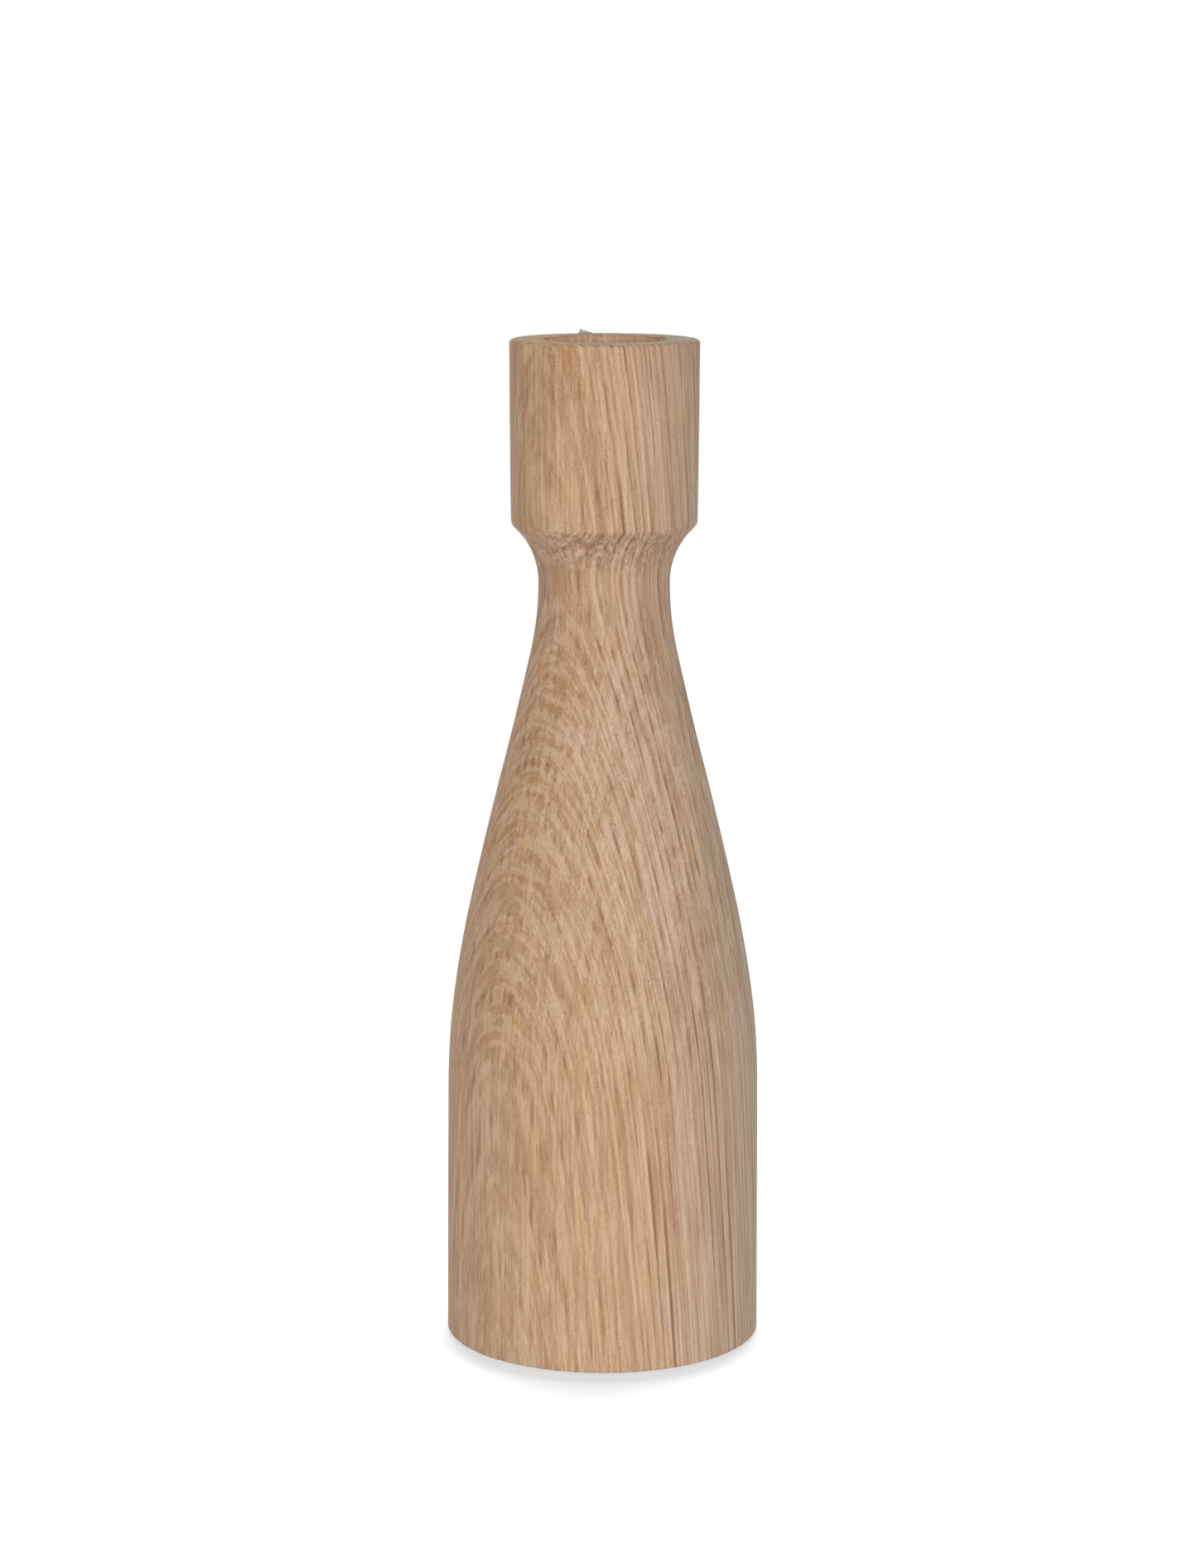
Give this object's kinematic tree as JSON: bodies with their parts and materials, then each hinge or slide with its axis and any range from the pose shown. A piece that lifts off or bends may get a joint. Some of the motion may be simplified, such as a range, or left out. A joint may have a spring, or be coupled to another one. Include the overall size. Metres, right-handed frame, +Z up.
{
  "type": "wooden candlestick",
  "caption": "Turned raw-oak candlestick: cylindrical foot, long tapering cone, narrow neck with a cove, and a cylindrical head bored for a standard dinner candle.",
  "frame": {"origin": "centre of the felt disc's underside, on the surface that the candlestick stands on", "axes": "+Z up along the axis the wood was turned about, towards the candle; +X to the right and +Y away as the candlestick is usually viewed"},
  "size_m": [0.0598, 0.0598, 0.19],
  "materials": {
    "oak": "raw, turned and unfinished, matte",
    "felt": "pressed wool felt"
  },
  "bodies": {
    "root": {"oak_body": "oak", "felt_disc": "felt"}
  },
  "joints": []
}
